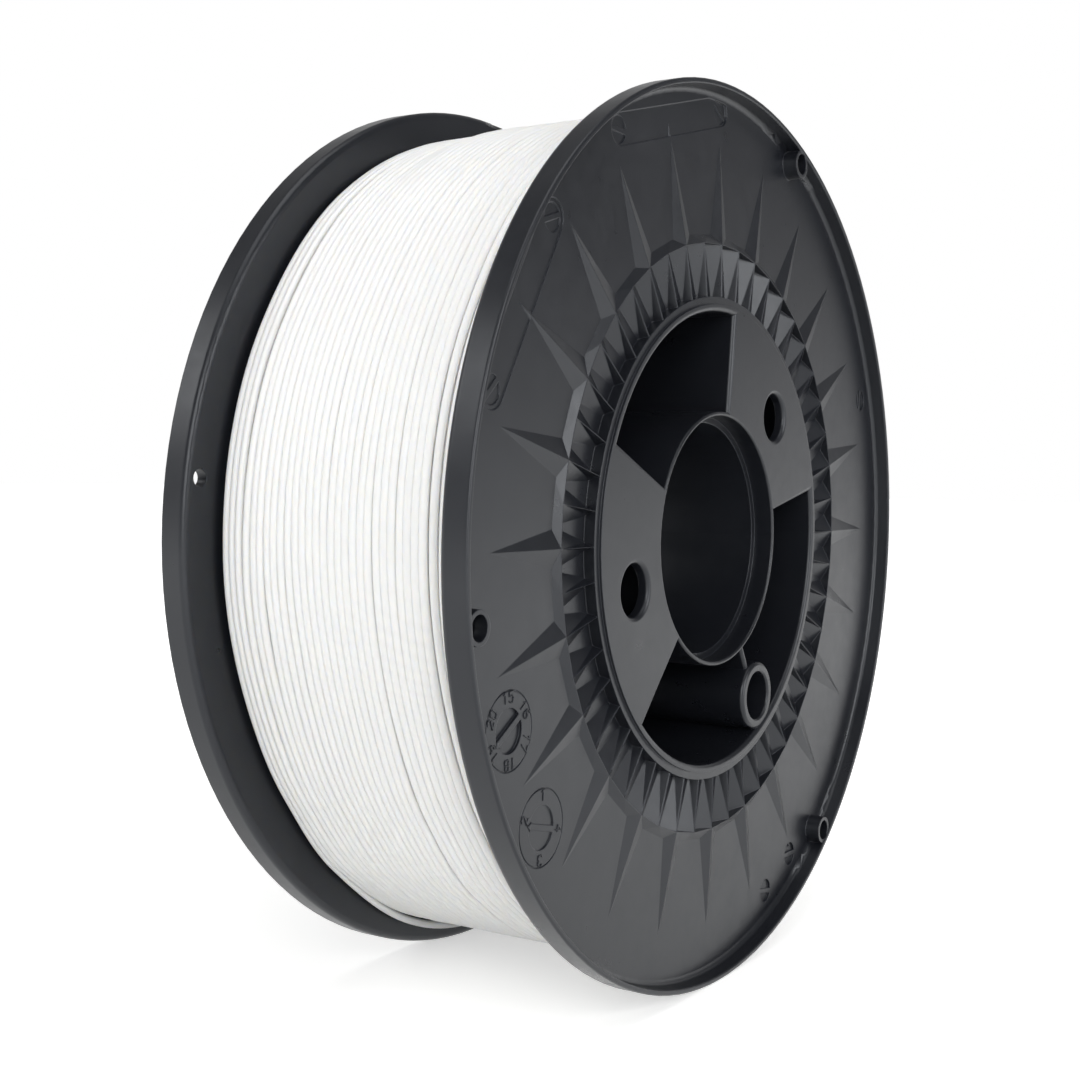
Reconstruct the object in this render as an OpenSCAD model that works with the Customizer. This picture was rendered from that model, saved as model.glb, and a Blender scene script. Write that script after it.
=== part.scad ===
// Filament spool: two moulded halves that meet at the middle of the hub,
// and the wound filament between their flanges.
// The spool's axis is Y, and the front flange faces -Y.

/* [Spool] */
// Diameter of both flanges
flange_d = 200; // [190:1:240]
// Width over the two rims
spool_w = 74; // [66:1:100]
// Thickness of a flange
plate_t = 2.5; // [2.2:0.1:3.2]

/* [Rim] */
// Depth of the flange's field below the rim
field_sink = 3.8; // [3.2:0.1:5]
// Thickness of the rim's wall at its foot
rim_t = 1.5; // [1.4:0.1:2.4]
// Radius of the cove between the field and the rim
cove_r = 1.2; // [0.8:0.1:2]
// Radius in which the flange's inner face turns into the rim
curl_r = 1.5; // [1:0.1:2.4]
// Draft of the rim's inner wall, over its height
rim_draft = 0.3; // [0.1:0.1:0.4]
// Radius of the rim's outer edge
rim_edge_r = 0.5; // [0.3:0.1:0.5]
// Bevel on the rim's inner edge
rim_bevel = 0.2; // [0.1:0.1:0.3]

/* [Hub] */
// Outer diameter of the drum that the filament is wound on
drum_d = 107; // [102:1:112]
// Thickness of the drum
drum_wall = 3; // [2.4:0.1:4]
// Depth of the hub's face below the rim
hub_sink = 1.8; // [1:0.1:2.4]
// Width of the ledge round the hub's face
ledge_w = 1.6; // [1:0.1:2]
// Depth of the ledge below the hub's face
ledge_drop = 0.6; // [0.3:0.1:0.8]
// Diameter of the bore for the spindle
bore_d = 52; // [44:0.5:56]
// Thickness of the bore's tube
bore_wall = 2.5; // [2:0.1:3.5]
// How much wider than the bore its mouth is
mouth_extra = 3; // [1:0.5:3.5]
// Depth of the bore's mouth below the hub's face
mouth_depth = 4.8; // [2:0.1:10]
// Thickness of the hub's radial ribs
rib_t = 2; // [1.6:0.1:3]
// Radius of the lips round the hub's windows
lip_r = 1; // [0.5:0.1:1.2]
// Thickness of the hub's face plates
face_t = 2.5; // [2:0.1:4]

/* [Drive features] */
// Diameter of the drive holes
drive_hole_d = 11; // [6:0.5:12]
// Distance of the drive holes from the spool's axis
drive_hole_r = 39.3; // [37:0.1:41]
// Outer diameter of the guide tube
guide_d = 16; // [12:0.5:17]
// Diameter of the hole in the guide tube
guide_hole_d = 11.2; // [6:0.2:12]
// Distance of the guide tube from the spool's axis
guide_r = 43.6; // [42.5:0.1:44]
// Depth of the guide tube's lip below the hub's face
guide_drop = 0.4; // [0.3:0.1:3]

/* [Sunburst] */
// Number of rays on a flange
ray_count = 24; // [12:2:30]
// Diameter of the crown that the rays rise to
crown_d = 131; // [127:1:136]
// Height of the crown above the field
crown_rise = 1.15; // [0.6:0.05:1.4]
// Width of the bevel outside the crown
crown_bevel = 1.9; // [1.2:0.1:2.5]
// Length of a ray, from the crown outward
ray_len = 22.5; // [12:0.5:23]
// Width of a ray at its foot
ray_w = 7.6; // [4:0.1:8]
// Depth of the groove inside the crown, below the field
groove_sink = 1.1; // [0.6:0.1:1.2]
// Width of a tooth of the crown, at the hub
tooth_end_w = 1.5; // [0.8:0.1:2.5]

/* [Rim tubes and holes] */
// Diameter of the holes that hold a loose end
end_hole_d = 3.6; // [2.5:0.1:3.8]
// How much wider than those holes their mouths are
end_mouth_extra = 1.3; // [0.6:0.1:1.4]
// Outer diameter of the tubes round the front flange's holes, at their tops
end_tube_d = 6.6; // [6:0.1:6.8]
// How much wider those tubes are at their feet
end_tube_draft = 0.3; // [0.2:0.05:0.4]
// Distance of those holes from the flange's edge
end_hole_inset = 3.6; // [3.6:0.1:4.5]

/* [Moulding marks] */
// Distance of the insert screw marks from the flange's edge
mark_inset = 7.6; // [7.6:0.1:10]
// Diameter of an insert screw mark
mark_d = 5.6; // [3:0.1:5.6]
// Depth of an insert screw mark
mark_sink = 0.5; // [0.2:0.1:0.8]
// Width of a bare label strip
strip_w = 7.4; // [6.2:0.1:8]
// Depth of a bare label strip
strip_sink = 0.25; // [0.1:0.05:0.4]
// Diameter of the moulding dials
dial_d = 15.4; // [12:0.2:15.4]
// Diameter of the turning insert in a dial
dial_insert_d = 8.6; // [6:0.1:10]
// Distance of the dials from the flange's edge
dial_inset = 12.6; // [12:0.1:16]

/* [Halves' joint] */
// Length of the front half's spigot
spigot_len = 5; // [3:0.5:8]
// Clearance of the spigot, on each side
spigot_gap = 0.1; // [0.05:0.01:0.2]

/* [Filament] */
// Diameter of the filament
filament_d = 1.75; // [1.6:0.01:1.8]
// Diameter over the outer layer of turns
pack_d = 184; // [150:1:186]
// Number of turns shown in the outer layer
turns = 24; // [6:1:24]
// Gap between the filament and the flanges
pack_gap = 0.25; // [0.2:0.05:1]
// Gap between the outer layer and the layers under it
layer_gap = 0.2; // [0.15:0.05:0.4]
// Radius in which the filament's ends turn into the pack
end_bend_r = 3.5; // [2.5:0.1:6]

/* [Hidden] */
$fn = 96;
// How far one shape of a solid reaches into the next one
bury = 0.1;
wall_bury = 0.5;

// Heights in a half, from the middle of the spool outward to the rim
rim_z = spool_w / 2;
field_z = rim_z - field_sink;
inner_z = field_z - plate_t;
hub_z = rim_z - hub_sink;
ledge_z = hub_z - ledge_drop;
groove_z = field_z - groove_sink;
crown_z = field_z + crown_rise;

// Radii
drum_margin = 0.3;
flange_r = flange_d / 2;
curl_foot_r = flange_r - curl_r;
field_r = flange_r - rim_t - cove_r;
rim_foot_r = min(curl_foot_r, field_r) - 1;
wall_top_r = flange_r - rim_t + rim_draft;
drum_r = drum_d / 2;
drum_in_r = drum_r - drum_wall;
bore_r = bore_d / 2;
tube_r = bore_r + bore_wall;
mouth_r = bore_r + mouth_extra / 2;
groove_in_r = drum_r + drum_margin;
ledge_r = groove_in_r - ledge_w;
crown_r = crown_d / 2;

// The hub's face: five equal sectors, two of them plates and three open windows
sectors = 5;
sector_turn = 360 / sectors;
first_edge = 12;
plate_sectors = [0, 2];
rib_edges = [0, 1, 2, 3];
guide_edge = 4;
drive_hole_turns = [45.5, 193.9];
guide_rib_t = 0.8 * rib_t;
guide_rib_drop = guide_drop + lip_r;
rib_relief = 1;
rib_end_z = spigot_len + rib_relief;

// The sunburst is one ring, sunk into the flange past its visible foot
tooth_count = 2 * ray_count;
tooth_turn = 360 / tooth_count;
foot_sink = 0.15;
tooth_end_r = drum_r - 2 * drum_margin;
tooth_end_z = ledge_z - bury;
ring_bottom_z = (groove_z + inner_z) / 2;
pocket_z = groove_z - bury;
pocket_r = crown_r + 0.35 * crown_bevel;

// Rim tubes and holes
end_holes = 3;
first_end_hole = 67.5;
end_hole_r = flange_r - end_hole_inset;
end_tube_drop = 0.3;
end_mouth_rise = 0.2;

// Moulding marks on the front flange: [angle seen from in front, how far it lies outside the others]
mark_r = flange_r - mark_inset;
marks = [[161.5, 0], [137.5, 0], [117.9, 1.6], [89.9, 2.6], [22, 0], [289.9, 0], [299.4, 0]];
// A label strip runs from one mark to the next: [first mark, share of the strips' width]
strips = [[0, 1], [2, 0.88]];
strip_edge_gap = 0.3;
mark_bar_w = 1.1;
mark_slant = 60;
dial_r = flange_r - dial_inset;
date_dial_turn = 202.1;
material_dial_turn = 217.2;
dial_line_w = 0.3;
dial_line_sink = 0.2;
dial_sink = 0.6;
dial_bar_w = 1.2;

// Filament
strand_r = filament_d / 2;
turn_r = pack_d / 2 - strand_r;
pack_half_w = inner_z - pack_gap;
turns_inset = 0.1;
turns_half_w = pack_half_w - strand_r - turns_inset;
pitch = 2 * turns_half_w / turns;
shoulder_r = 1.2;
loop_rings = 24;
// The turns run straight from ring to ring, and the pack lies under the middle of each run
pack_r = (turn_r - strand_r) * cos(180 / loop_rings) - layer_gap;
strand_sides = 6;
bend_rings = 5;
end_turn = -40;
notch_gap = 0.3;

function polar(r, turn, z) = [r * cos(turn), r * sin(turn), z];
function arc(c, r, from, to, steps) =
    [for (i = [0:steps]) c + r * [cos(from + (to - from) * i / steps), sin(from + (to - from) * i / steps)]];

// Section of a half's flange and drum, turned round the axis
// The front half's drum ends in a spigot, and the rear half's has the rebate for it
module flange_section(front) {
    joint_r = drum_in_r + drum_wall / 2 + (front ? -1 : 1) * spigot_gap / 2;
    joint_z = front ? -spigot_len : spigot_len + spigot_gap;
    polygon(concat(
        [[drum_in_r, joint_z], [joint_r, joint_z], [joint_r, 0]],
        [[drum_r, 0], [drum_r, inner_z], [rim_foot_r, inner_z]],
        [[rim_foot_r, field_z], [pocket_r, field_z], [pocket_r, pocket_z]],
        [[groove_in_r, pocket_z], [groove_in_r, ledge_z], [ledge_r, ledge_z], [ledge_r, hub_z]],
        arc([drum_in_r + lip_r, hub_z - lip_r], lip_r, 90, 180, 6)
    ));
    rim_section();
}

// Section of the rim: the flange turns forward into it, and a cove leads up to its inner wall
module rim_section() {
    difference() {
        union() {
            intersection() {
                translate([curl_foot_r, inner_z + curl_r]) circle(curl_r);
                translate([curl_foot_r, inner_z]) square([curl_r, curl_r]);
            }
            translate([rim_foot_r, inner_z]) square([curl_foot_r - rim_foot_r, curl_r]);
            polygon(concat(
                [[rim_foot_r, inner_z + curl_r], [flange_r, inner_z + curl_r]],
                arc([flange_r - rim_edge_r, rim_z - rim_edge_r], rim_edge_r, 0, 90, 6),
                [[rim_foot_r, rim_z]]
            ));
        }
        translate([field_r, field_z + cove_r]) circle(cove_r);
        polygon([
            [rim_foot_r - 1, field_z], [field_r, field_z], [field_r + cove_r, field_z + cove_r],
            [wall_top_r, rim_z - rim_bevel], [wall_top_r + rim_bevel, rim_z],
            [wall_top_r + rim_bevel, rim_z + 1], [rim_foot_r - 1, rim_z + 1]
        ]);
    }
}

// Section of the bore's tube, with its wider mouth
module bore_section() {
    mouth_lip = (tube_r - mouth_r) / 2;
    polygon(concat(
        [[bore_r, 0], [tube_r, 0]],
        arc([tube_r - mouth_lip, hub_z - mouth_lip], mouth_lip, 0, 180, 8),
        [[mouth_r, hub_z - mouth_depth], [bore_r, hub_z - mouth_depth]]
    ));
}

// The crown and its rays: every tooth of the crown ends at the hub, every second one runs out as a ray
module sunburst() {
    end_half = asin(tooth_end_w / 2 / tooth_end_r);
    foot_half = asin(ray_w / 2 / (crown_r + crown_bevel));
    past = (crown_rise + foot_sink) / crown_rise;
    teeth = [for (k = [0:tooth_count - 1])
        let (turn = k * tooth_turn)
        each [
            polar(crown_r, turn, crown_z),
            polar(crown_r * cos(tooth_turn / 2), turn + tooth_turn / 2, groove_z),
            polar(tooth_end_r, turn, tooth_end_z),
            polar(tooth_end_r, turn - end_half, groove_z),
            polar(tooth_end_r, turn + end_half, groove_z),
            polar(tooth_end_r, turn - end_half, ring_bottom_z),
            polar(tooth_end_r, turn + end_half, ring_bottom_z)
        ]];
    rays = [for (j = [0:ray_count - 1])
        let (
            turn = 2 * j * tooth_turn,
            top = polar(crown_r, turn, crown_z),
            foot = [
                polar(crown_r + crown_bevel, turn - foot_half, field_z),
                polar(crown_r + ray_len, turn, field_z),
                polar(crown_r + crown_bevel, turn + foot_half, field_z)
            ],
            sunk = [for (p = foot) top + (p - top) * past]
        )
        each concat(sunk, [for (p = sunk) [p.x, p.y, ring_bottom_z]])];
    function tooth(k, i) = 7 * (k % tooth_count) + i;
    function ray(j, i) = 7 * tooth_count + 6 * (j % ray_count) + i;
    tooth_faces = [for (k = [0:tooth_count - 1])
        let (before = k + tooth_count - 1, after = k + 1)
        each [
            [tooth(k, 0), tooth(k, 2), tooth(k, 4)],
            [tooth(k, 0), tooth(k, 4), tooth(k, 1)],
            [tooth(k, 0), tooth(before, 1), tooth(k, 3)],
            [tooth(k, 0), tooth(k, 3), tooth(k, 2)],
            [tooth(after, 0), tooth(k, 0), tooth(k, 1)],
            [tooth(k, 1), tooth(k, 4), tooth(after, 3)],
            [tooth(k, 4), tooth(k, 2), tooth(k, 3)],
            [tooth(k, 4), tooth(k, 3), tooth(k, 5), tooth(k, 6)],
            [tooth(after, 3), tooth(k, 4), tooth(k, 6), tooth(after, 5)]
        ]];
    ray_faces = [for (j = [0:ray_count - 1])
        let (k = 2 * j, next = j + 1)
        each [
            [tooth(k, 0), ray(j, 2), ray(j, 1)],
            [tooth(k, 0), ray(j, 1), ray(j, 0)],
            [tooth(k, 0), tooth(k + 1, 0), ray(j, 2)],
            [tooth(k + 1, 0), ray(next, 0), ray(j, 2)],
            [tooth(k + 1, 0), tooth(k + 2, 0), ray(next, 0)],
            [ray(j, 0), ray(j, 1), ray(j, 4), ray(j, 3)],
            [ray(j, 1), ray(j, 2), ray(j, 5), ray(j, 4)],
            [ray(j, 2), ray(next, 0), ray(next, 3), ray(j, 5)],
            [ray(j, 3), ray(j, 4), ray(j, 5)],
            [tooth(k, 5), ray(j, 3), ray(j, 5)],
            [tooth(k, 5), ray(j, 5), tooth(k, 6)],
            [tooth(k, 6), ray(j, 5), tooth(k + 1, 5)],
            [tooth(k + 1, 5), ray(j, 5), ray(next, 3)],
            [tooth(k + 1, 5), ray(next, 3), tooth(k + 1, 6)],
            [tooth(k + 1, 6), ray(next, 3), tooth(k + 2, 5)]
        ]];
    polyhedron(concat(teeth, rays), concat(tooth_faces, ray_faces));
}

// Pie slice between two angles, less than half a turn
module slice(from, to, r, h) {
    linear_extrude(h) polygon(concat([[0, 0]], arc([0, 0], r, from, to, 4)));
}

// Plate that closes one sector of the hub, set back from the lips along its edges
module face_plate(sector) {
    edge = first_edge + sector * sector_turn;
    inset = asin(lip_r / drum_in_r);
    translate([0, 0, hub_z - face_t]) intersection() {
        difference() {
            cylinder(h = face_t, r = drum_in_r + lip_r + 2 * bury);
            translate([0, 0, -1]) cylinder(h = face_t + 2, r = tube_r - lip_r / 2);
        }
        slice(edge + inset, edge + sector_turn - inset, 2 * drum_r, face_t);
    }
}

// Radial wall outward from the bore's tube; its centre line lies beside the sector's edge
module rib(edge, thickness, top_z, side, end_r) {
    length = end_r - tube_r + wall_bury;
    crest_z = top_z - thickness / 2;
    rotate(edge) translate([tube_r - wall_bury, side * thickness / 2, 0]) {
        translate([0, -thickness / 2, rib_end_z]) cube([length, thickness, crest_z - rib_end_z]);
        translate([0, 0, crest_z]) rotate([0, 90, 0]) cylinder(h = length, d = thickness);
    }
}

// Hole in a face plate, with a rounded lip
module drive_hole(turn) {
    rotate(turn) translate([drive_hole_r, 0, 0]) {
        translate([0, 0, hub_z - face_t - 1]) cylinder(h = face_t + 2, d = drive_hole_d);
        rotate_extrude() polygon(concat(
            [[0, hub_z + 1], [0, hub_z - lip_r]],
            arc([drive_hole_d / 2 + lip_r, hub_z - lip_r], lip_r, 180, 96, 6),
            [[drive_hole_d / 2 + lip_r, hub_z + 1]]
        ));
    }
}

// Tube that guides a drive pin, on a thin rib between two windows
module guide_tube() {
    wall = (guide_d - guide_hole_d) / 2;
    edge = first_edge + guide_edge * sector_turn;
    top_z = hub_z - guide_drop;
    rib(edge, guide_rib_t, hub_z - guide_rib_drop, 0, guide_r - guide_d / 2 + wall / 2);
    rotate(edge) translate([guide_r, 0, 0]) rotate_extrude() polygon(concat(
        [[guide_hole_d / 2, rib_end_z], [guide_d / 2, rib_end_z]],
        arc([guide_d / 2 - lip_r, top_z - lip_r], lip_r, 0, 80, 5),
        arc([guide_hole_d / 2 + wall / 4, top_z - wall / 4], wall / 4, 100, 180, 5)
    ));
}

// Everything in a half's hub, before its holes
module hub() {
    rotate_extrude() bore_section();
    for (sector = plate_sectors)
        face_plate(sector);
    for (e = rib_edges)
        rib(first_edge + e * sector_turn, rib_t, hub_z - bury / 2, e % 2 == 0 ? 1 : -1,
            drum_in_r + wall_bury);
    guide_tube();
}

// Copies its children to the three loose-end holes
module at_end_holes() {
    for (i = [0:end_holes - 1])
        rotate(first_end_hole + i * 360 / end_holes) translate([end_hole_r, 0, 0]) children();
}

// Tubes round the front flange's loose-end holes
module end_tubes() {
    at_end_holes() translate([0, 0, field_z - wall_bury])
        cylinder(h = field_sink - end_tube_drop + wall_bury,
            d1 = end_tube_d + end_tube_draft, d2 = end_tube_d);
}

// Recess left by a slotted screw that holds one of the mould's inserts
module screw_mark(mark) {
    rotate(mark[0]) translate([mark_r + mark[1], 0, field_z - mark_sink]) difference() {
        cylinder(h = field_sink, d = mark_d);
        rotate(mark_slant) translate([-mark_d, -mark_bar_w / 2, -1])
            cube([2 * mark_d, mark_bar_w, field_sink + 2]);
    }
}

// Bare recessed strip from one screw mark to another, round at both ends
module label_strip(from, to, width) {
    start = polar(mark_r + from[1], from[0], field_z - strip_sink);
    run = polar(mark_r + to[1], to[0], field_z - strip_sink) - start;
    translate(start) rotate(atan2(run.y, run.x)) {
        translate([0, -width / 2, 0]) cube([norm(run), width, field_sink]);
        for (x = [0, norm(run)])
            translate([x, 0, 0]) cylinder(h = field_sink, d = width);
    }
}

// Moulding dial: a fine ring, and a turning insert with a raised pointer
module dial(turn, pointer_turn, sink) {
    rotate(turn) translate([dial_r, 0, field_z]) {
        translate([0, 0, -dial_line_sink]) difference() {
            cylinder(h = 1, d = dial_d);
            translate([0, 0, -1]) cylinder(h = 3, d = dial_d - 2 * dial_line_w);
        }
        translate([0, 0, -sink]) difference() {
            cylinder(h = sink + 1, d = dial_insert_d);
            rotate(pointer_turn) translate([-dial_d, -dial_bar_w / 2, -1])
                cube([2 * dial_d, dial_bar_w, sink + 3]);
        }
    }
}

// Everything that is sunk into the front flange's field
module front_marks() {
    intersection() {
        union() {
            for (m = marks)
                screw_mark(m);
            for (s = strips)
                label_strip(marks[s[0]], marks[s[0] + 1], s[1] * strip_w);
        }
        cylinder(h = spool_w, r = field_r - strip_edge_gap);
    }
    dial(date_dial_turn, 10, dial_sink);
    dial(material_dial_turn, 130, dial_sink / 2);
}

// One moulded half, standing on the middle plane with its flange on top
module half(front) {
    difference() {
        union() {
            difference() {
                rotate_extrude() flange_section(front);
                if (front)
                    front_marks();
            }
            sunburst();
            hub();
            if (front)
                end_tubes();
        }
        for (turn = drive_hole_turns)
            drive_hole(turn);
        rotate(first_edge + guide_edge * sector_turn) translate([guide_r, 0, 0])
            cylinder(h = spool_w, d = guide_hole_d);
        at_end_holes() translate([0, 0, inner_z - 1]) cylinder(h = spool_w, d = end_hole_d);
        at_end_holes() translate([0, 0, field_z + end_mouth_rise])
            cylinder(h = spool_w, d = end_hole_d + end_mouth_extra);
    }
}

module front_spool_half() {
    color([0.16, 0.17, 0.19]) rotate([90, 0, 0]) half(front = true);
}

module rear_spool_half() {
    color([0.15, 0.16, 0.19]) rotate([-90, 0, 0]) half(front = false);
}

// Station on the outer layer's centre line: [centre, direction away from the pack]
// bend turns the filament from its loop (0) to straight into the pack (90)
function station(turn, z, bend, side, drop) =
    let (
        out = [cos(turn), sin(turn), 0],
        along = side * [-sin(turn), cos(turn), 0],
        r = turn_r - end_bend_r + end_bend_r * cos(bend) - drop
    )
    [r * out + end_bend_r * sin(bend) * along + [0, 0, z], cos(bend) * out + sin(bend) * along];

module filament_outer_turns() {
    loops = turns * loop_rings;
    end_z = turns_half_w;
    winding = [for (i = [0:loops])
        station(end_turn + i * 360 / loop_rings, -end_z + pitch * i / loop_rings, 0, 1, 0)];
    start = concat(
        [station(end_turn, -end_z, 90, -1, filament_d)],
        [for (i = [bend_rings:-1:1]) station(end_turn, -end_z, 90 * i / bend_rings, -1, 0)]
    );
    finish = concat(
        [for (i = [1:bend_rings]) station(end_turn, end_z, 90 * i / bend_rings, 1, 0)],
        [station(end_turn, end_z, 90, 1, filament_d)]
    );
    path = concat(start, winding, finish);
    last = len(path) - 1;
    gap = min([for (i = [0:last - loop_rings / 2], j = [i + loop_rings / 2:min(last, i + 3 * loop_rings)])
        norm(path[i][0] - path[j][0])]) - filament_d;
    echo(str("Least gap of the outer turns to themselves: ", gap, " mm"));
    n = strand_sides;
    points = [for (s = path, k = [0:n - 1])
        s[0] + strand_r * (cos(360 * k / n) * s[1] + sin(360 * k / n) * [0, 0, 1])];
    sides = [for (i = [0:last - 1], k = [0:n - 1])
        let (a = i * n + k, b = i * n + (k + 1) % n)
        each [[a, b, b + n], [a, b + n, a + n]]];
    caps = [for (k = [1:n - 2])
        each [[0, k + 1, k], [last * n, last * n + k, last * n + k + 1]]];
    color([0.93, 0.93, 0.92]) rotate([90, 0, 0])
        polyhedron(points, concat(sides, caps));
}

// Notch in the pack where an end of the outer layer comes up from the layer below
module end_notch(side) {
    floor_r = turn_r - end_bend_r - filament_d - layer_gap;
    width = filament_d + 2 * notch_gap;
    length = end_bend_r + strand_r + 2 * notch_gap;
    across = side > 0 ? -notch_gap : notch_gap - length;
    rotate(end_turn) translate([floor_r, across, side * (turns_half_w - width / 2)])
        mirror([0, 0, side > 0 ? 0 : 1])
            cube([pack_d, length, spool_w]);
}

module filament_pack() {
    color([0.9, 0.9, 0.89]) rotate([90, 0, 0]) difference() {
        rotate_extrude() polygon(concat(
            [[drum_r + pack_gap / 2, -pack_half_w]],
            arc([pack_r - shoulder_r, shoulder_r - pack_half_w], shoulder_r, -90, 0, 5),
            arc([pack_r - shoulder_r, pack_half_w - shoulder_r], shoulder_r, 0, 90, 5),
            [[drum_r + pack_gap / 2, pack_half_w]]
        ));
        end_notch(1);
        end_notch(-1);
    }
}

front_spool_half();
rear_spool_half();
filament_pack();
filament_outer_turns();
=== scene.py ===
"""Looks of the filament spool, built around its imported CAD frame.

Lengths in shapes are in mm, with the axis along Y and the front flange towards -Y.
"""
import math

import bpy
import numpy as np
from mathutils import Matrix, Vector


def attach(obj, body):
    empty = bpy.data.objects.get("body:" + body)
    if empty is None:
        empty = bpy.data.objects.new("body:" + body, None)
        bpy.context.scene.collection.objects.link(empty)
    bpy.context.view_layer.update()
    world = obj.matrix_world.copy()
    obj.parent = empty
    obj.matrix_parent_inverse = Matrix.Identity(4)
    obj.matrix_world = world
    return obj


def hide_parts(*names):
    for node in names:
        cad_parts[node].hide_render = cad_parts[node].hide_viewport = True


MM = 0.001
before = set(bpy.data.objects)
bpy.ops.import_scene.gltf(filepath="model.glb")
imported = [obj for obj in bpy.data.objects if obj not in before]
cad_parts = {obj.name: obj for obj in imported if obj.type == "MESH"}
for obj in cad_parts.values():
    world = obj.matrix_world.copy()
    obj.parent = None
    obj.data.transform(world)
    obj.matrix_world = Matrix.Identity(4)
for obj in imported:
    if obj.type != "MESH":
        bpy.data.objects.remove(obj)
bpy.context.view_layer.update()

# ---------------------------------------------------------------- sizes shared with the CAD model
RIM_R = 100.0
FIELD_Y = 33.2                 # the front flange's flat field
DRUM_R = 53.5
PACK_R = 92.0
STRAND_R = 0.875


# ---------------------------------------------------------------- shader nodes
def link(nt, a, b):
    nt.links.new(a, b)


def node(nt, kind, **values):
    """A shader node with its properties and input values set by name."""
    n = nt.nodes.new(kind)
    for key, value in values.items():
        if key in n.inputs.keys():
            n.inputs[key].default_value = value
        else:
            setattr(n, key, value)
    return n


def maths(nt, operation, a, b):
    n = node(nt, "ShaderNodeMath", operation=operation)
    link(nt, a, n.inputs[0])
    link(nt, b, n.inputs[1])
    return n.outputs["Value"]


def map_range(nt, value, start, end, kind="LINEAR"):
    """Maps start[0]..start[1] to end[0]..end[1], clamped."""
    n = node(nt, "ShaderNodeMapRange", interpolation_type=kind)
    for key, number in zip(("From Min", "From Max", "To Min", "To Max"), (*start, *end)):
        n.inputs[key].default_value = number
    link(nt, value, n.inputs["Value"])
    return n.outputs["Result"]


def noise(nt, coords, scale, detail, roughness):
    n = node(nt, "ShaderNodeTexNoise", Scale=scale, Detail=detail, Roughness=roughness)
    link(nt, coords, n.inputs["Vector"])
    return n.outputs["Fac"]


def mix_colours(nt, factor, a, b):
    """The colour between a, which is a socket or a colour, and the colour b."""
    n = node(nt, "ShaderNodeMix", data_type="RGBA")
    link(nt, factor, n.inputs["Factor"])
    if isinstance(a, bpy.types.NodeSocket):
        link(nt, a, n.inputs["A"])
    else:
        n.inputs["A"].default_value = (*a, 1)
    n.inputs["B"].default_value = (*b, 1)
    return n.outputs["Result"]


def mix_shaders(nt, factor, a, b):
    n = node(nt, "ShaderNodeMixShader")
    link(nt, factor, n.inputs["Fac"])
    link(nt, a, n.inputs[1])
    link(nt, b, n.inputs[2])
    return n.outputs["Shader"]


def bump(nt, height, strength, depth, normal=None):
    n = node(nt, "ShaderNodeBump", Strength=strength, Distance=depth * MM)
    link(nt, height, n.inputs["Height"])
    if normal:
        link(nt, normal, n.inputs["Normal"])
    return n.outputs["Normal"]


def scaled(colour, by):
    return [min(c * by, 1) for c in colour]


def new_material(name):
    m = bpy.data.materials.new(name)
    m.use_nodes = True
    nt = m.node_tree
    nt.nodes.clear()
    out = node(nt, "ShaderNodeOutputMaterial")
    return m, nt, out


# ---------------------------------------------------------------- materials
def moulded_plastic(name, base, rough, grain_size, grain_depth, edge_r=0.28):
    """Dark satin plastic: a fine spark-eroded grain, faint flow marks, and softly rounded edges
    with a painted highlight along them.
    """
    m, nt, out = new_material(name)
    bsdf = node(nt, "ShaderNodeBsdfPrincipled")
    bsdf.inputs["Specular IOR Level"].default_value = 0.5
    bsdf.inputs["Specular Tint"].default_value = (0.93, 0.96, 1.0, 1)
    coords = node(nt, "ShaderNodeTexCoord").outputs["Object"]
    # Slow changes of tone, as where the melt flowed
    flow = noise(nt, coords, scale=22.0, detail=3.0, roughness=0.55)
    tone = mix_colours(nt, flow, scaled(base, 0.85), scaled(base, 1.2))
    # Edges are softly rounded, and painted a little paler where the rounding turns the normal away:
    # a painted highlight along the edges
    rounded = node(nt, "ShaderNodeBevel", samples=6, Radius=edge_r * MM).outputs["Normal"]
    turned_by = node(nt, "ShaderNodeVectorMath", operation="DOT_PRODUCT")
    link(nt, rounded, turned_by.inputs[0])
    link(nt, node(nt, "ShaderNodeNewGeometry").outputs["Normal"], turned_by.inputs[1])
    edge_highlight_paint = map_range(nt, turned_by.outputs["Value"], (0.98, 0.8), (0.0, 0.6), "SMOOTHSTEP")
    link(nt, mix_colours(nt, edge_highlight_paint, tone, scaled(base, 3.5)), bsdf.inputs["Base Color"])
    # Roughness varies with the flow and with a finer mottle
    mottle = noise(nt, coords, scale=260.0, detail=4.0, roughness=0.6)
    both = maths(nt, "ADD", flow, mottle)
    link(nt, map_range(nt, both, (0.7, 1.3), rough), bsdf.inputs["Roughness"])
    grain = noise(nt, coords, scale=1.0 / (grain_size * MM), detail=2.0, roughness=0.5)
    grained = bump(nt, grain, strength=1.0, depth=grain_depth, normal=rounded)
    link(nt, grained, bsdf.inputs["Normal"])
    link(nt, bsdf.outputs["BSDF"], out.inputs["Surface"])
    return m


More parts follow.
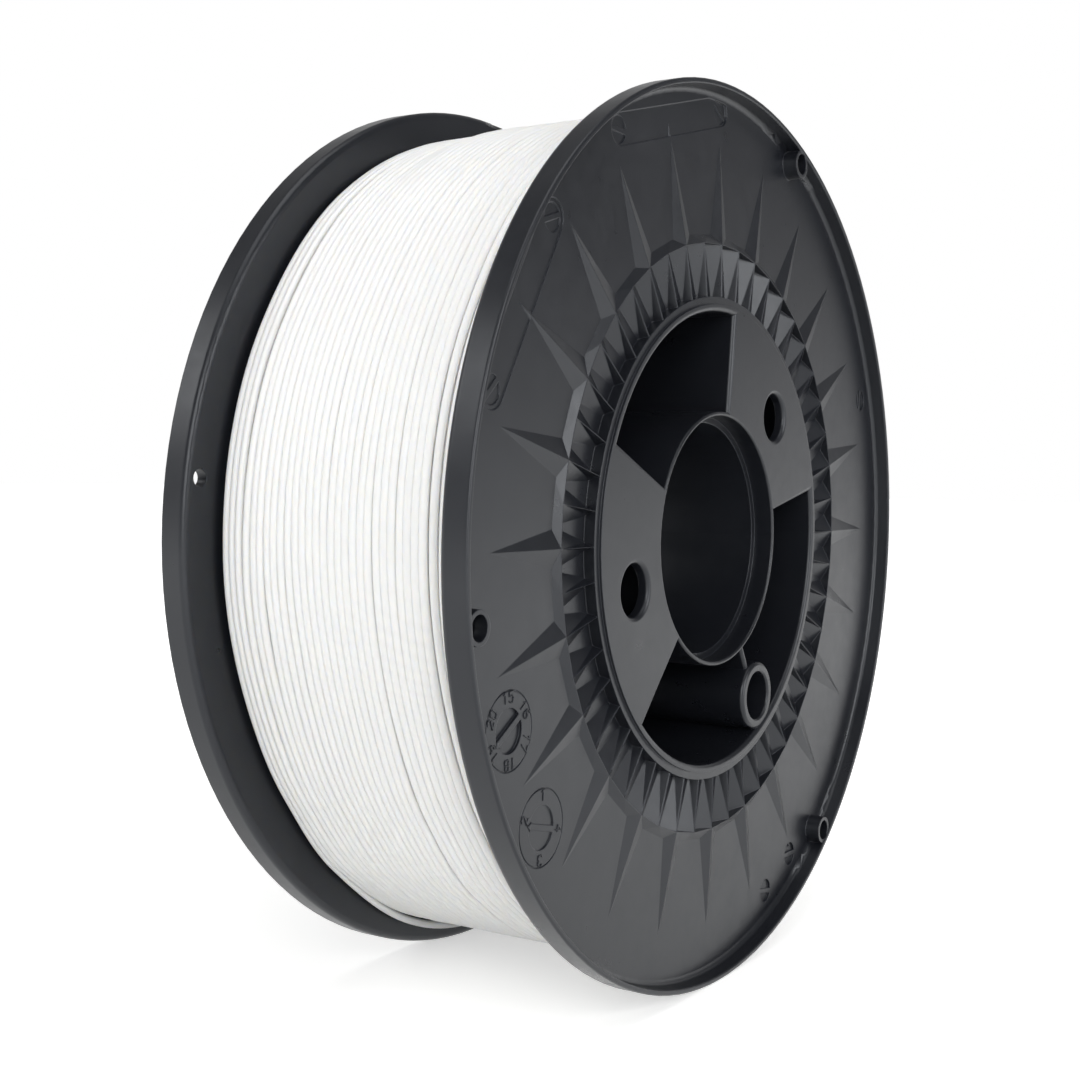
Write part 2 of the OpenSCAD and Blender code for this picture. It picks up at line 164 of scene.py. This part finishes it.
def filament_plastic(name, base, rough):
    """Glossy white thermoplastic that lets a little light in."""
    m, nt, out = new_material(name)
    bsdf = node(nt, "ShaderNodeBsdfPrincipled")
    bsdf.inputs["Subsurface Weight"].default_value = 0.6
    bsdf.inputs["Subsurface Radius"].default_value = (1.0, 0.9, 0.75)
    bsdf.inputs["Subsurface Scale"].default_value = 0.9 * MM
    bsdf.inputs["Specular IOR Level"].default_value = 0.5
    coords = node(nt, "ShaderNodeTexCoord").outputs["Object"]
    # Slight changes of tone along the strand
    tint = noise(nt, coords, scale=35.0, detail=3.0, roughness=0.6)
    link(nt, mix_colours(nt, tint, scaled(base, 0.965), base), bsdf.inputs["Base Color"])
    # The extruded skin: fine unevenness
    skin = noise(nt, coords, scale=900.0, detail=3.0, roughness=0.6)
    link(nt, map_range(nt, skin, (0.0, 1.0), rough), bsdf.inputs["Roughness"])
    link(nt, bump(nt, skin, strength=0.5, depth=0.02), bsdf.inputs["Normal"])
    link(nt, bsdf.outputs["BSDF"], out.inputs["Surface"])
    return m


spool_dark = moulded_plastic("spool_plastic_satin", (0.0085, 0.0094, 0.0125), rough=(0.27, 0.37),
                             grain_size=0.22, grain_depth=0.005)
filament_white = filament_plastic("filament_white_gloss", (0.93, 0.93, 0.92), rough=(0.3, 0.46))

for name in ("front_spool_half", "rear_spool_half"):
    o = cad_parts[name]
    if not o.data.materials:
        o.data.materials.append(spool_dark)
    for i in range(len(o.data.materials)):
        o.data.materials[i] = spool_dark


# ---------------------------------------------------------------- meshes
def facing_out(verts, faces):
    """The same faces, all turned so that a closed mesh has a positive volume."""
    volume = 0.0
    for f in faces:
        for i in range(1, len(f) - 1):
            p, q, r = verts[f[0]], verts[f[i]], verts[f[i + 1]]
            volume += (p[0] * (q[1] * r[2] - q[2] * r[1]) + p[1] * (q[2] * r[0] - q[0] * r[2])
                       + p[2] * (q[0] * r[1] - q[1] * r[0]))
    return faces if volume > 0 else [tuple(reversed(f)) for f in faces]


def mesh_object(name, verts, faces, mat, smooth=True):
    faces = facing_out(np.asarray(verts).tolist(), faces)
    me = bpy.data.meshes.new(name)
    me.from_pydata([tuple(v) for v in np.asarray(verts) * MM], [], [tuple(f) for f in faces])
    me.validate()
    me.update()
    if smooth:
        me.polygons.foreach_set("use_smooth", [True] * len(me.polygons))
    o = bpy.data.objects.new(name, me)
    bpy.context.scene.collection.objects.link(o)
    me.materials.append(mat)
    return o


# ---------------------------------------------------------------- the winding
SEG, SIDES = 240, 12           # stations on each turn, and sides of the strand
UNDER_SEG, UNDER_SIDES = 120, 8
HALF_W = 30.35                 # the layer fills the channel from flange to flange
TURNS = 32
END_TURN = -40.0               # degrees: where both ends of the layer go down, on the far side

# The layer below the outer one, and the core that fills the rest of the pack
UNDER_INSET = 0.2              # how much narrower each half of that layer is
UNDER_DROP = 1.9               # how far below the outer layer it lies
UNDER_FOLLOW = 0.5             # the share of the outer layer's forms that it follows
CORE_DEPTH = 4.6               # below the pack's surface
CORE_BEVEL = 0.8
CORE_TO_DRUM, CORE_TO_SIDE = 0.12, 0.1
CORE_SEG = 160

# How far the loose outer layer lies from the axis all round: it rests on the pack at the top and
# sags clear of it at the bottom. Degrees from +X, seen from the front, then mm.
LAYER_R = [(0, 92.3), (62, 93.2), (102, 93.3), (127, 93.0), (151, 92.0), (182, 91.3), (203, 90.8),
           (217, 91.2), (232, 92.6), (252, 93.9), (272, 94.0), (302, 93.4), (332, 92.5),
           (360, 92.3)]
FULL_R = 94.0                  # the layer below follows the outer one up to here

# Forms of the layer on top of that. Each has its height in mm, its middle and half length in
# degrees, and the place and softness across the layer of the edge that it starts from
TOP_STEP = (0.9, 94, 40.0, 13.0, -0.9)         # higher in front of the edge, along the top
LAST_LOOP = (3.5, 265, 21.0, 28.55, 0.12)      # hangs lower beside the rear flange
REAR_DROP, REAR_EDGE, REAR_SOFT = 0.5, 28.0, 0.7   # and lies lower there all round

# Gaps in the outer layer: the turn in front of the gap, its middle and half length in degrees, and
# its width in mm
GAPS = [(28, 144, 44, 0.85), (25, 192, 8, 0.4), (22, 186, 13, 0.22), (21, 140, 15, 0.22),
        (21, 190, 13, 0.16), (16, 166, 13, 0.18), (14, 142, 17, 0.22), (12, 160, 15, 0.16),
        (11, 120, 13, 0.38), (10, 184, 17, 0.28), (10, 211, 10, 0.36), (7, 173, 24, 0.3),
        (7, 220, 10, 0.36), (6, 144, 19, 0.24), (3, 167, 42, 0.75), (2, 162, 32, 0.6),
        (3, 218, 16, 0.5), (2, 224, 14, 0.4), (22, 218, 10, 0.25)]
NAMED_SHARE = 0.92             # the most of the free width that these may take
GAP_SPREAD = 4.6               # how much the other gaps' widths differ, as an exponent
END_CLOSE = 0.4                # the part of a turn over which gaps open at the layer's ends
NEVER_ZERO = 1e-6              # least weight of a gap
GAP_ROWS, RISE_ROWS = 9, 0.9   # random values along each turn, for the gaps and for the rise
RISE_COLUMNS, SPARE_ROWS = 7, 4


def lattice(rng, rows, cols):
    return rng.uniform(-1.0, 1.0, (rows, cols))


def smooth_noise(table, u, turn):
    """Smooth value noise: u runs along the rows, and turn (0..1) round the columns, seamlessly."""
    rows, cols = table.shape
    u = np.clip(u, 0, rows - 1.001)      # so that a row is always left after it
    i = np.floor(u).astype(int)
    fu = u - i
    fu = fu * fu * (3 - 2 * fu)
    v = (turn % 1.0) * cols
    j = np.floor(v).astype(int) % cols
    fv = v - np.floor(v)
    fv = fv * fv * (3 - 2 * fv)
    k = (j + 1) % cols
    a = table[i, j] * (1 - fv) + table[i, k] * fv
    b = table[i + 1, j] * (1 - fv) + table[i + 1, k] * fv
    return a * (1 - fu) + b * fu


def wrap(deg):
    return (deg + 180.0) % 360.0 - 180.0


def ramp(x):
    x = np.clip(x, 0.0, 1.0)
    return x * x * (3 - 2 * x)


def hump(deg, middle, half):
    """1 at the middle angle, falling away round it."""
    return math.exp(-(wrap(deg - middle) / half) ** 2)


def past(y, edge, soft):
    """0 before an edge across the layer and 1 behind it, or the other way with soft below 0."""
    return 1 / (1 + math.exp(-(y - edge) / soft))


def gap_widths(table, turns, t, deg, free, named):
    """Widths of the gaps between neighbouring turns at one angle. They add up to what is free."""
    s = np.arange(turns - 1) + t
    rows = table.shape[0]
    u = s * rows / turns
    i = np.clip(np.floor(u).astype(int), 0, rows - 2)
    f = ramp(u - i)
    weight = np.exp(GAP_SPREAD * (table[i, 0] * (1 - f) + table[i + 1, 0] * f))
    weight = weight * ramp(s / END_CLOSE) * ramp((turns - 1 - s) / END_CLOSE) + NEVER_ZERO
    wide = np.zeros_like(s)
    for turn, middle, half, width in named:
        wide[turn] += width * hump(deg, middle, half)
    if wide.sum() > NAMED_SHARE * free:
        wide *= NAMED_SHARE * free / wide.sum()
    return wide + (free - wide.sum()) * weight / weight.sum()


def winding_path(seed, turns, half_w, drop, seg, uneven, flip=1, named=()):
    """One layer's centre line from the front flange to the rear one: points and ways outward."""
    rng = np.random.default_rng(seed)
    gap_table = lattice(rng, turns * GAP_ROWS, 1)
    rise_table = lattice(rng, int(turns * RISE_ROWS) + SPARE_ROWS, RISE_COLUMNS)
    free = 2 * (half_w - STRAND_R) - turns * 2 * STRAND_R
    degrees = [(c / seg * 360.0 * flip + END_TURN) % 360.0 for c in range(seg)]
    before = []
    for c, deg in enumerate(degrees):
        gaps = gap_widths(gap_table, turns, c / seg, deg, free, named)
        before.append(np.concatenate([[0], np.cumsum(gaps)]))
    pts, outs = [], []
    for i in range(turns * seg + 1):
        s = i / seg
        turn, c = divmod(i, seg)
        shift = before[c][turn] if turn < turns else free
        y = -half_w + STRAND_R + s * 2 * STRAND_R + shift
        deg = degrees[c]
        rise = float(smooth_noise(rise_table, np.float64(s * RISE_ROWS), np.float64(c / seg)))
        r = layer_r(y, deg, drop) + uneven * rise
        a = math.radians(deg)
        pts.append((r * math.cos(a), y, r * math.sin(a)))
        outs.append((math.cos(a), 0.0, math.sin(a)))
    return np.array(pts), np.array(outs)


def layer_r(y, deg, drop):
    """How far the middle of a strand lies from the axis, in the outer layer or at a drop below."""
    for (d0, r0), (d1, r1) in zip(LAYER_R, LAYER_R[1:]):
        if d0 <= deg <= d1:
            break
    r = r0 + (r1 - r0) * float(ramp((deg - d0) / (d1 - d0)))
    for height, middle, half, edge, soft in (TOP_STEP, LAST_LOOP):
        r += height * hump(deg, middle, half) * past(y, edge, soft)
    r -= REAR_DROP * past(y, REAR_EDGE, REAR_SOFT)
    if drop:
        r = PACK_R + UNDER_FOLLOW * (min(r, FULL_R) - PACK_R) - drop
    return r - STRAND_R


def tube(path, outs, radius, sides):
    """A round strand along a path; outs is a direction square to the path at each point."""
    n = len(path)
    along = np.gradient(path, axis=0)
    along /= np.linalg.norm(along, axis=1)[:, None]
    side = np.cross(along, outs)
    side /= np.linalg.norm(side, axis=1)[:, None]
    up = np.cross(side, along)
    k = np.arange(sides) * 2 * math.pi / sides
    rings = path[:, None, :] + radius * (np.cos(k)[None, :, None] * up[:, None, :]
                                         + np.sin(k)[None, :, None] * side[:, None, :])
    faces = []
    for i in range(n - 1):
        a = i * sides
        for j in range(sides):
            b = (j + 1) % sides
            faces.append((a + j, a + b, a + sides + b, a + sides + j))
    faces.append(tuple(range(sides))[::-1])
    faces.append(tuple((n - 1) * sides + j for j in range(sides)))
    return rings.reshape(-1, 3), faces


def tuck_ends(path, outs, bend_r=3.5, drop=1.5, steps=7):
    """Both ends of a layer turn down between the strands and go straight into the pack."""
    def end(p, out, ahead):
        ahead = ahead / np.linalg.norm(ahead)
        ps, os_ = [], []
        for i in range(1, steps + 1):
            b = math.radians(90 * i / steps)
            ps.append(p + bend_r * math.sin(b) * ahead - bend_r * (1 - math.cos(b)) * out)
            os_.append(math.cos(b) * out + math.sin(b) * ahead)
        ps.append(ps[-1] - drop * out)
        os_.append(os_[-1])
        return ps, os_
    p0, o0 = end(path[0], outs[0], path[0] - path[1])
    p1, o1 = end(path[-1], outs[-1], path[-1] - path[-2])
    return np.vstack([p0[::-1], path, p1]), np.vstack([o0[::-1], outs, o1])


def ring_solid(profile, count):
    """A solid of revolution about Y from a closed profile of (radius, y)."""
    verts, faces = [], []
    for i in range(count):
        a = 2 * math.pi * i / count
        verts += [(r * math.cos(a), y, r * math.sin(a)) for r, y in profile]
    m = len(profile)
    for i in range(count):
        here, there = i * m, ((i + 1) % count) * m
        for j in range(m):
            k = (j + 1) % m
            faces.append((here + j, there + j, there + k, here + k))
    return np.array(verts), faces


path, outs = tuck_ends(*winding_path(seed=11, turns=TURNS, half_w=HALF_W, drop=0.0, seg=SEG,
                                     uneven=0.13, named=GAPS))
outer = mesh_object("filament_outer_layer", *tube(path, outs, STRAND_R, SIDES), filament_white)
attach(outer, "root")
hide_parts("filament_outer_turns")

# The layer under it runs the other way, in the grooves
path, outs = winding_path(seed=5, turns=TURNS, half_w=HALF_W - UNDER_INSET, drop=UNDER_DROP,
                          seg=UNDER_SEG, uneven=0.1, flip=-1)
verts, faces = tube(path, outs, STRAND_R, UNDER_SIDES)
core_in, core_out, core_y = DRUM_R + CORE_TO_DRUM, PACK_R - CORE_DEPTH, HALF_W - CORE_TO_SIDE
core_verts, core_faces = ring_solid(
    [(core_in, -core_y), (core_out - CORE_BEVEL, -core_y), (core_out, CORE_BEVEL - core_y),
     (core_out, core_y - CORE_BEVEL), (core_out - CORE_BEVEL, core_y), (core_in, core_y)],
    CORE_SEG)
faces += [tuple(i + len(verts) for i in f) for f in core_faces]
under = mesh_object("filament_under_layers", np.vstack([verts, core_verts]), faces, filament_white)
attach(under, "root")
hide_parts("filament_pack")

# ---------------------------------------------------------------- marks on the moulding dials
# Each digit is one line on a field 0.6 wide and 1 high
DIGITS = {
    "0": [(0, .15), (.15, 0), (.45, 0), (.6, .15), (.6, .85), (.45, 1), (.15, 1), (0, .85),
          (0, .15)],
    "1": [(.1, .78), (.3, 1), (.3, 0)],
    "2": [(0, .85), (.15, 1), (.45, 1), (.6, .85), (.6, .65), (0, 0), (.6, 0)],
    "3": [(0, .9), (.15, 1), (.45, 1), (.6, .88), (.6, .62), (.45, .52), (.6, .4), (.6, .12),
          (.45, 0), (.15, 0), (0, .1)],
    "4": [(.45, 0), (.45, 1), (0, .3), (.6, .3)],
    "5": [(.6, 1), (.05, 1), (.02, .58), (.4, .6), (.6, .45), (.6, .15), (.45, 0), (.15, 0),
          (0, .1)],
    "6": [(.55, .95), (.3, 1), (.05, .75), (0, .2), (.15, 0), (.45, 0), (.6, .15), (.6, .4),
          (.45, .55), (.15, .55), (0, .4)],
    "7": [(0, 1), (.6, 1), (.25, 0)],
    "8": [(.15, .53), (.03, .65), (.03, .88), (.15, 1), (.45, 1), (.57, .88), (.57, .65),
          (.45, .53), (.15, .53), (0, .4), (0, .12), (.15, 0), (.45, 0), (.6, .12), (.6, .4),
          (.45, .53)],
    "9": [(.05, .05), (.3, 0), (.55, .25), (.6, .8), (.45, 1), (.15, 1), (0, .85), (0, .6),
          (.15, .45), (.45, .45), (.6, .6)],
}
DIGIT_W, DIGIT_GAP = 0.6, 0.35            # shares of a digit's height
DIGIT_H = 2.0
STROKE_R = 0.17                           # half a stroke's width at its foot
STROKE_TOP = 0.5                          # its top is this share of that
PROUD, SUNK = 0.2, 0.05                   # how far a mark stands out of the field, and goes in
NUMBER_R = 6.25                           # the numbers' middles lie on this circle
POINTER_R = 5.2                           # reach of a pointer's head
HEAD_LEN, HEAD_HALF_W, HEAD_NOTCH = 1.5, 1.0, 0.35
HEAD_MIDDLE, HEAD_TOP = 0.5, 0.7          # its top has this share of its size, about this point

# Where the dials sit, as in the CAD model, and the angles of their numbers and pointers, in degrees
DIAL_R = 87.4
DATE_DIAL, DATE_POINTER = 202.1, 212.1
DATE_NUMBERS = [(93 - 60 * i, str(15 + i)) for i in range(6)]
MATERIAL_DIAL, MATERIAL_POINTER = 217.2, 167.2
MATERIAL_NUMBERS = [(85, "1"), (158, "2"), (266, "3"), (349, "4")]


def raised(outline_base, outline_top):
    """A low raised form on the field: the base outline sunk a little, the top outline narrower."""
    n = len(outline_base)
    verts = [(x, -FIELD_Y + SUNK, z) for x, z in outline_base]
    verts += [(x, -FIELD_Y - PROUD, z) for x, z in outline_top]
    faces = [tuple(range(n))[::-1], tuple(range(n, 2 * n))]
    faces += [(i, (i + 1) % n, n + (i + 1) % n, n + i) for i in range(n)]
    return verts, facing_out(verts, faces)


def stroke(a, b):
    """One raised stroke between two points of the field."""
    ahead = (b - a).normalized()
    side = Vector((-ahead.y, ahead.x))
    loops = []
    for half in (STROKE_R, STROKE_R * STROKE_TOP):
        p, q = a - ahead * half, b + ahead * half
        loops.append([tuple(v) for v in (p - side * half, q - side * half,
                                         q + side * half, p + side * half)])
    return raised(*loops)


def direction_at(deg):
    return Vector((math.cos(math.radians(deg)), math.sin(math.radians(deg))))


def dial_marks(turn, words, pointer):
    """Numbers round a dial with their tops outward, and the head of its pointer."""
    parts = []
    centre = direction_at(turn) * DIAL_R
    for deg, word in words:
        upward = direction_at(deg)
        across = Vector((upward.y, -upward.x))
        width = (DIGIT_W * len(word) + DIGIT_GAP * (len(word) - 1)) * DIGIT_H
        start = centre + upward * (NUMBER_R - DIGIT_H / 2) - across * width / 2
        for k, digit in enumerate(word):
            corner = start + across * ((DIGIT_W + DIGIT_GAP) * DIGIT_H * k)
            at = [corner + across * (x * DIGIT_H) + upward * (y * DIGIT_H)
                  for x, y in DIGITS[digit]]
            parts += [stroke(a, b) for a, b in zip(at, at[1:])]
    ahead = direction_at(pointer)
    side = Vector((-ahead.y, ahead.x))
    tip = centre + ahead * POINTER_R
    foot = tip - ahead * HEAD_LEN
    outline = [tip, foot + side * HEAD_HALF_W, foot + ahead * HEAD_NOTCH, foot - side * HEAD_HALF_W]
    middle = foot + ahead * HEAD_MIDDLE
    parts.append(raised([tuple(p) for p in outline],
                        [tuple(middle + (p - middle) * HEAD_TOP) for p in outline]))
    return parts


mark_verts, mark_faces = [], []
for verts, faces in (dial_marks(DATE_DIAL, DATE_NUMBERS, DATE_POINTER)
                     + dial_marks(MATERIAL_DIAL, MATERIAL_NUMBERS, MATERIAL_POINTER)):
    mark_faces += [tuple(i + len(mark_verts) for i in f) for f in faces]
    mark_verts += verts
numbers = mesh_object("dial_numbers", mark_verts, mark_faces, spool_dark, smooth=False)
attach(numbers, "root")

# ---------------------------------------------------------------- camera
# Fitted to the photograph. The model's pattern is turned from the photographed one by PHOTO_TURN
PHOTO_TURN, AZ, EL, ROLL = (math.radians(v) for v in (1.1, -56.983, 3.541, 0.135))
PLACE = (-0.322060, -0.196179, 0.021797)      # metres
LENS, SENSOR = 53.304, 36.0
back = Vector((math.sin(AZ) * math.cos(EL), -math.cos(AZ) * math.cos(EL), math.sin(EL)))
right = Vector((math.cos(AZ), math.sin(AZ), 0))
up = back.cross(right)
right, up = (math.cos(ROLL) * right + math.sin(ROLL) * up,
             -math.sin(ROLL) * right + math.cos(ROLL) * up)
turned = Matrix.Rotation(-PHOTO_TURN, 3, "Y")
rot = turned @ Matrix((right, up, back)).transposed()
cam_data = bpy.data.cameras.new("camera")
cam_data.lens = LENS
cam_data.sensor_width = SENSOR
cam_data.sensor_fit = "HORIZONTAL"
cam_data.clip_start, cam_data.clip_end = 0.01, 20
cam = bpy.data.objects.new("camera", cam_data)
bpy.context.scene.collection.objects.link(cam)
cam.matrix_world = Matrix.Translation(turned @ Vector(PLACE)) @ rot.to_4x4()
bpy.context.scene.camera = cam

# ---------------------------------------------------------------- floor
FLOOR_HALF = 6.0               # metres
FLOOR_Z = -RIM_R * MM
floor_mat, nt, out = new_material("floor_white")
paper = node(nt, "ShaderNodeBsdfDiffuse")
paper.inputs["Color"].default_value = (0.88, 0.88, 0.87, 1)
# The paper reads as white where it is seen, mirrored or behind glass, and keeps the object's
# shadow; its glow is weaker near the object, a painted shade round it, and further out it meets the
# white background
distance = node(nt, "ShaderNodeVectorMath", operation="LENGTH")
link(nt, node(nt, "ShaderNodeTexCoord").outputs["Object"], distance.inputs[0])
glow = node(nt, "ShaderNodeEmission")
# Painted shade: the glow is half as strong near the object as far out
link(nt, map_range(nt, distance.outputs["Value"], (0.15, 0.9), (0.5, 1.0), "SMOOTHSTEP"),
     glow.inputs["Strength"])
lit_paper = node(nt, "ShaderNodeAddShader")
link(nt, paper.outputs["BSDF"], lit_paper.inputs[0])
link(nt, glow.outputs["Emission"], lit_paper.inputs[1])
ray = node(nt, "ShaderNodeLightPath").outputs
seen = maths(nt, "MAXIMUM", maths(nt, "MAXIMUM", ray["Is Camera Ray"], ray["Is Glossy Ray"]),
             ray["Is Transmission Ray"])
link(nt, mix_shaders(nt, seen, paper.outputs["BSDF"], lit_paper.outputs["Shader"]),
     out.inputs["Surface"])
floor_mesh = bpy.data.meshes.new("floor")
corners = [(x * FLOOR_HALF, y * FLOOR_HALF, FLOOR_Z)
           for x, y in ((-1, -1), (1, -1), (1, 1), (-1, 1))]
floor_mesh.from_pydata(corners, [], [(0, 1, 2, 3)])
floor = bpy.data.objects.new("floor", floor_mesh)
bpy.context.scene.collection.objects.link(floor)
floor_mesh.materials.append(floor_mat)

# ---------------------------------------------------------------- world
# The room: bright sheets behind and to the right, the lit table in front, and darkness overhead.
# The background itself is white
world = bpy.data.worlds.new("studio")
world.use_nodes = True
bpy.context.scene.world = world
nt = world.node_tree
nt.nodes.clear()
out = node(nt, "ShaderNodeOutputWorld")
ambient = node(nt, "ShaderNodeBackground")
white = node(nt, "ShaderNodeBackground", Strength=1.0)
white.inputs["Color"].default_value = (1, 1, 1, 1)
direction = node(nt, "ShaderNodeTexCoord").outputs["Generated"]
split = node(nt, "ShaderNodeSeparateXYZ")
link(nt, direction, split.inputs["Vector"])
height = split.outputs["Z"]


def sheet(toward, from_dot, strength, top, fade=0.3):
    """A bright sheet: its strength over the directions near one, fading out between two heights."""
    dot = node(nt, "ShaderNodeVectorMath", operation="DOT_PRODUCT")
    dot.inputs[1].default_value = toward
    link(nt, direction, dot.inputs[0])
    near = map_range(nt, dot.outputs["Value"], (from_dot, from_dot + fade), (0.0, strength),
                     "SMOOTHSTEP")
    return maths(nt, "MULTIPLY", near, map_range(nt, height, top, (1.0, 0.0), "SMOOTHSTEP"))


room = map_range(nt, height, (-0.03, 0.16), (1.0, 0.22), "SMOOTHSTEP")
for light in (sheet((0.8, 0.6, 0), 0.45, strength=0.9, top=(0.3, 0.8)),
              sheet((-0.6, 0.8, 0), 0.55, strength=0.4, top=(0.5, 0.9))):
    room = maths(nt, "ADD", room, light)
link(nt, room, ambient.inputs["Strength"])
link(nt, mix_shaders(nt, node(nt, "ShaderNodeLightPath").outputs["Is Camera Ray"],
                     ambient.outputs["Background"], white.outputs["Background"]),
     out.inputs["Surface"])


# ---------------------------------------------------------------- lamps
def softbox(name, place, size, power):
    """A square lamp that faces the object; the place and the size are in metres."""
    data = bpy.data.lights.new(name, "AREA")
    data.shape = "RECTANGLE"
    data.size = data.size_y = size
    data.energy = power
    o = bpy.data.objects.new(name, data)
    o.location = place
    o.rotation_euler = (-Vector(place)).to_track_quat("-Z", "Y").to_euler()
    bpy.context.scene.collection.objects.link(o)


softbox("key", (-1.3, -0.85, 0.55), 0.9, 11.8)
softbox("top", (-0.3, -0.1, 1.6), 1.4, 9.0)
softbox("behind", (-1.15, 1.25, 0.95), 0.8, 5.0)
softbox("front", (0.05, -1.4, 0.42), 0.8, 9.5)

bpy.context.scene.view_settings.view_transform = "Standard"
